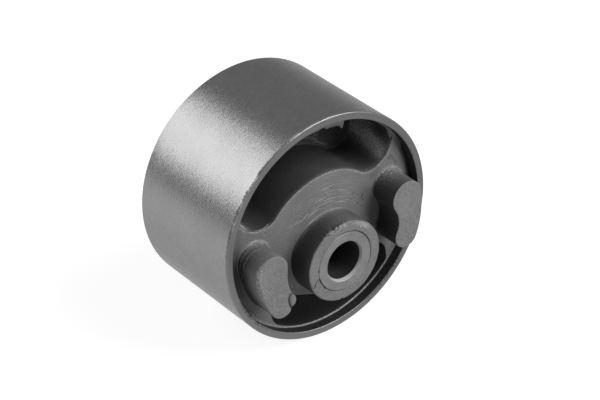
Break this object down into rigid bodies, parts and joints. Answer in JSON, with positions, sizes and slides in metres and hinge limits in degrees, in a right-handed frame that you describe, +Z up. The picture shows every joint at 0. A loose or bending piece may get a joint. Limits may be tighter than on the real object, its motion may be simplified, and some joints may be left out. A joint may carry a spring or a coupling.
{
  "type": "engine mount bush",
  "caption": "Steel sleeve bush with an offset steel bolt tube carried in an arched rubber web with kidney-shaped end lugs, to hold an engine in its bracket and damp it.",
  "frame": {"origin": "on the outer sleeve's axis, halfway along the sleeve", "axes": "+Y along the sleeve's axis, away from the end that the picture shows; +Z up, from the bolt tube towards the arch; +X to the right seen from that end"},
  "size_m": [0.072, 0.055, 0.072],
  "materials": {
    "sleeve_steel": "satin",
    "tube_steel": "turned",
    "rubber": "matt"
  },
  "bodies": {
    "root": {"outer_sleeve": "sleeve_steel", "inner_tube": "tube_steel", "rubber_body": "rubber"}
  },
  "joints": []
}
